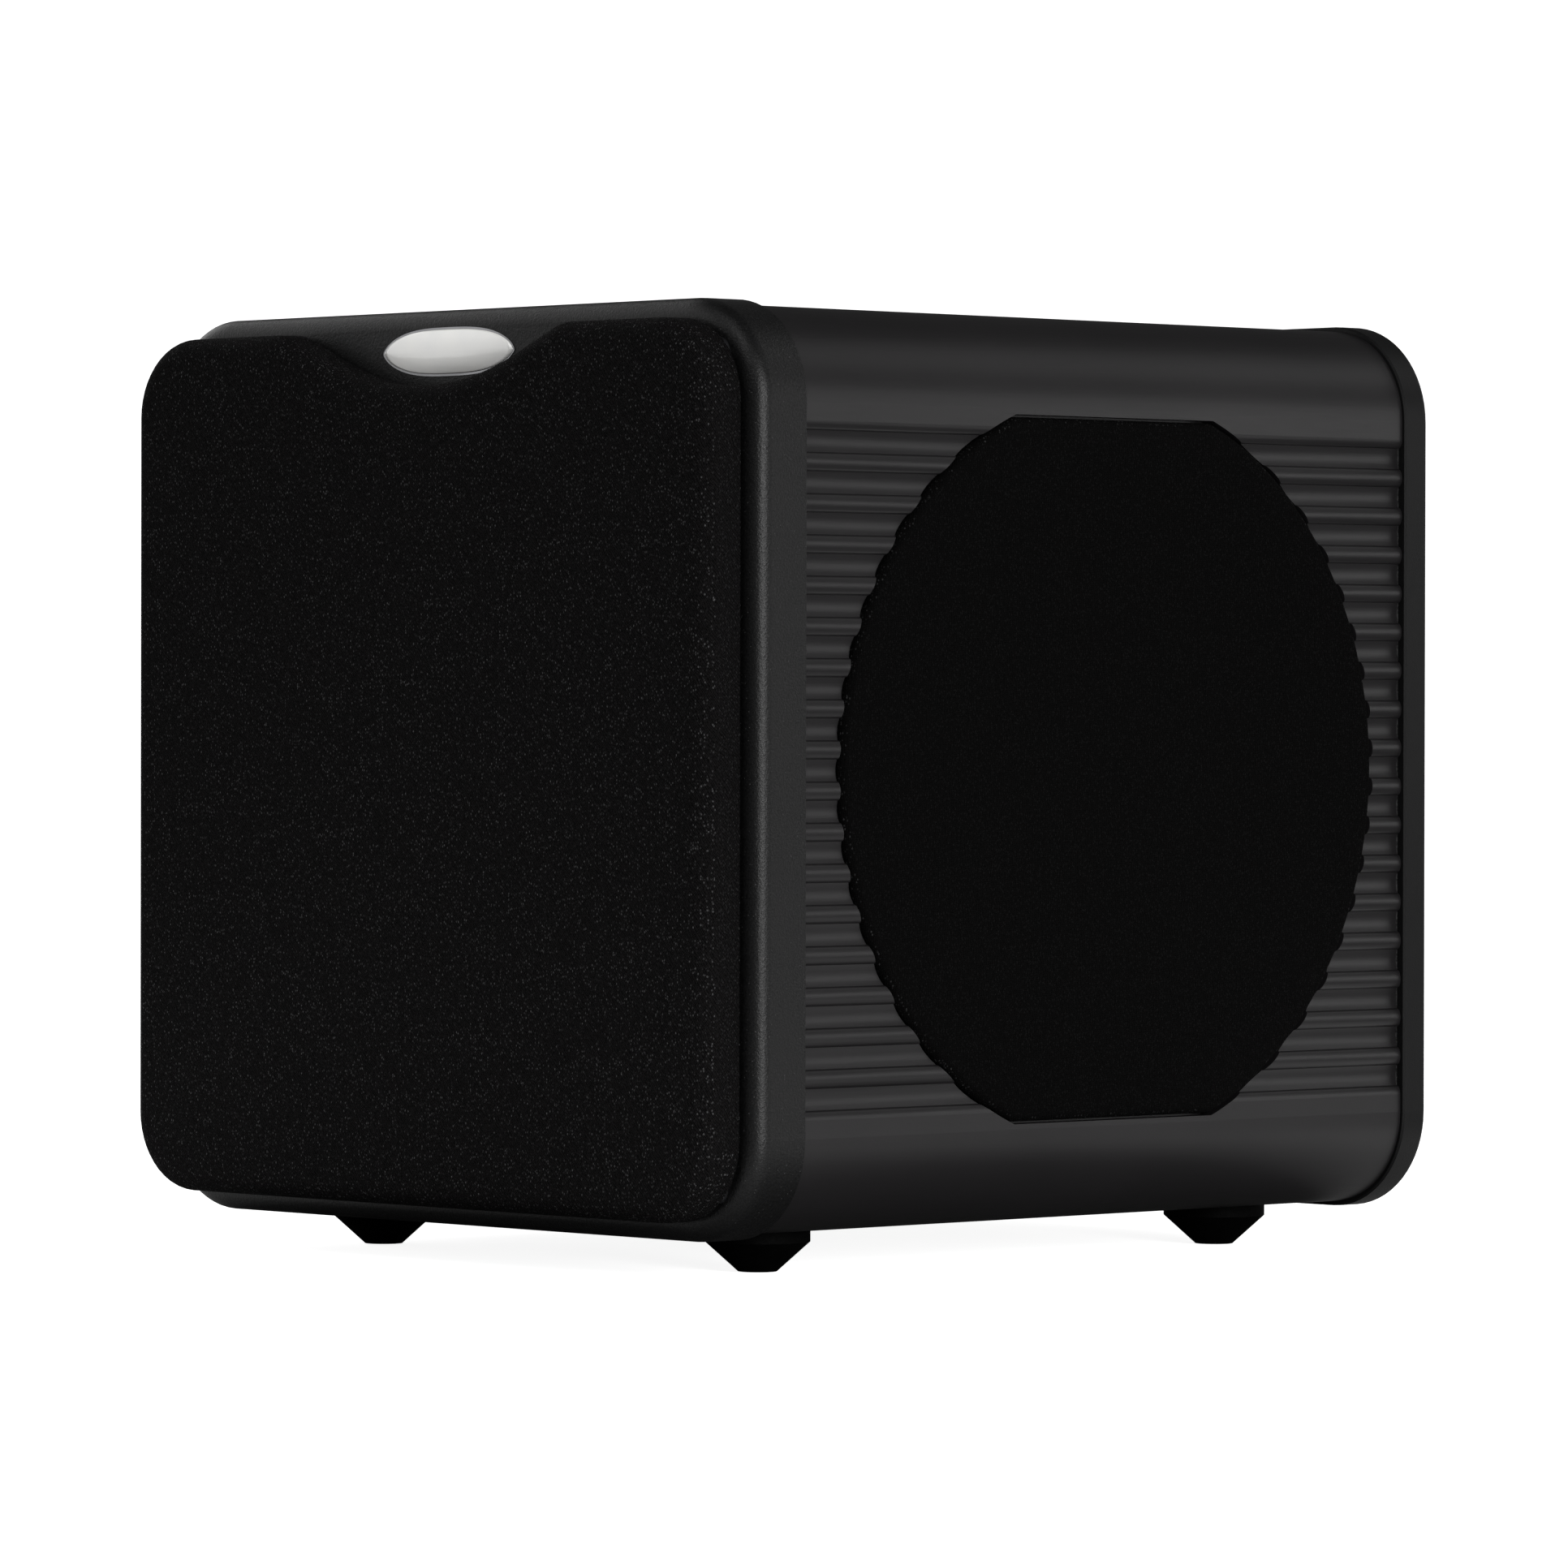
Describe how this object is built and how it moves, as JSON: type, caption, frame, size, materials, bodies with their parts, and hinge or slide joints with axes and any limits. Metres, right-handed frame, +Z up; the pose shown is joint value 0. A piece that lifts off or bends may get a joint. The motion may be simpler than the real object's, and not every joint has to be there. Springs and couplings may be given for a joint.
{
  "type": "subwoofer",
  "caption": "Compact powered subwoofer: ribbed extruded cabinet, cloth front and side grilles, front driver with opposed passive radiators and a rear amplifier plate.",
  "frame": {"origin": "centre of the bounding box in plan, at the height of the feet soles", "axes": "+Z up, -Y is the way the front grille faces, +X to the right seen from the front"},
  "size_m": [0.2202, 0.2464, 0.2312],
  "materials": {
    "anodised_shell": "satin black anodised extrusion",
    "badge_pearl": "pearl white gloss",
    "badge_rim": "satin dark metal rim",
    "brass": "plated brass",
    "capacitor_sleeve": "dark sleeve over an aluminium can",
    "cast_alloy": "black coated cast alloy",
    "circuit_board": "green solder mask",
    "cone_composite": "woven composite cone",
    "copper": "enamelled copper winding",
    "ferrite": "sintered ferrite",
    "foam": "closed-cell foam gasket",
    "former": "thin aluminium tube",
    "gold_plate": "gold-plated contact",
    "grille_cloth": "black knitted acoustic cloth",
    "insulator_white": "white insulator",
    "led": "green lens",
    "moulded_black": "matt black moulding",
    "powder_coat": "textured black powder coat",
    "rubber": "black rubber",
    "spider_cloth": "resin-doped cloth",
    "steel": "zinc-plated steel",
    "wire_jacket": "PVC insulation",
    "zinc_black": "black zinc-plated steel"
  },
  "bodies": {
    "cabinet": {"amp_board": "circuit_board", "amp_plate": "powder_coat", "amp_screws": "zinc_black", "badge_dome": "badge_pearl", "badge_rim": "badge_rim", "baffle_screws": "zinc_black", "board_standoffs": "brass", "cabinet_gaskets": "foam", "cabinet_shell": "anodised_shell", "control_pots": "steel", "driver_basket": "cast_alloy", "driver_magnet": "ferrite", "driver_pole_plate": "steel", "driver_screws": "zinc_black", "driver_terminals": "brass", "driver_top_plate": "steel", "feet": "rubber", "filter_capacitors": "capacitor_sleeve", "foot_studs": "steel", "front_baffle": "powder_coat", "grille_sockets": "rubber", "led_lens": "led", "left_radiator_frame": "cast_alloy", "mains_inlet": "moulded_black", "mains_pins": "brass", "phase_switch_body": "steel", "power_switch_housing": "moulded_black", "radiator_gaskets": "foam", "radiator_screws": "zinc_black", "rca_insulators": "insulator_white", "rca_shells": "gold_plate", "rear_frame": "moulded_black", "rear_screws": "zinc_black", "right_radiator_frame": "cast_alloy", "speaker_wires": "wire_jacket", "transformer_core": "ferrite", "transformer_winding": "copper"},
    "front_grille": {"front_grille_frame": "moulded_black", "front_grille_cloth": "grille_cloth"},
    "left_grille": {"left_grille_frame": "moulded_black", "left_grille_cloth": "grille_cloth"},
    "right_grille": {"right_grille_frame": "moulded_black", "right_grille_cloth": "grille_cloth"},
    "driver_motor": {"driver_cone": "cone_composite", "driver_dust_cap": "cone_composite", "driver_surround": "rubber", "driver_spider": "spider_cloth", "voice_coil_former": "former", "voice_coil": "copper"},
    "left_radiator": {"left_radiator_cone": "cone_composite", "left_radiator_weight": "steel", "left_radiator_surround": "rubber"},
    "right_radiator": {"right_radiator_cone": "cone_composite", "right_radiator_weight": "steel", "right_radiator_surround": "rubber"},
    "volume_control": {"volume_knob": "moulded_black"},
    "crossover_control": {"crossover_knob": "moulded_black"},
    "phase_switch": {"phase_switch_lever": "moulded_black"},
    "power_switch": {"power_rocker": "moulded_black"},
    "fuse_holder": {"fuse_drawer": "moulded_black"}
  },
  "joints": [
    {"name": "front_grille_pull", "type": "slide", "parent": "cabinet", "child": "front_grille", "axis": [0, -1, 0], "range_m": [0, 0.04]},
    {"name": "left_grille_pull", "type": "slide", "parent": "cabinet", "child": "left_grille", "axis": [-1, 0, 0], "range_m": [0, 0.03]},
    {"name": "right_grille_pull", "type": "slide", "parent": "cabinet", "child": "right_grille", "axis": [1, 0, 0], "range_m": [0, 0.03]},
    {"name": "driver_stroke", "type": "slide", "parent": "cabinet", "child": "driver_motor", "axis": [0, -1, 0], "range_m": [-0.008, 0.008], "deforming": ["driver_surround", "driver_spider"]},
    {"name": "left_radiator_stroke", "type": "slide", "parent": "cabinet", "child": "left_radiator", "axis": [-1, 0, 0], "range_m": [-0.008, 0.008], "deforming": ["left_radiator_surround"]},
    {"name": "right_radiator_stroke", "type": "slide", "parent": "cabinet", "child": "right_radiator", "axis": [1, 0, 0], "range_m": [-0.008, 0.008], "deforming": ["right_radiator_surround"]},
    {"name": "volume_turn", "type": "hinge", "parent": "cabinet", "child": "volume_control", "pos_m": [-0.04, 0.1137, 0.1752], "axis": [0, 1, 0], "range_deg": [-150, 150]},
    {"name": "crossover_turn", "type": "hinge", "parent": "cabinet", "child": "crossover_control", "pos_m": [0, 0.1137, 0.1752], "axis": [0, 1, 0], "range_deg": [-150, 150]},
    {"name": "phase_slide", "type": "slide", "parent": "cabinet", "child": "phase_switch", "axis": [1, 0, 0], "range_m": [0, 0.004]},
    {"name": "power_rock", "type": "hinge", "parent": "cabinet", "child": "power_switch", "pos_m": [-0.055, 0.1102, 0.0652], "axis": [1, 0, 0], "range_deg": [-16, 0]},
    {"name": "fuse_drawer_pull", "type": "slide", "parent": "cabinet", "child": "fuse_holder", "axis": [0, 1, 0], "range_m": [0, 0.012]}
  ],
  "couplings": [
    {"joint": "right_radiator_stroke", "follows": "left_radiator_stroke", "ratio": 1}
  ]
}
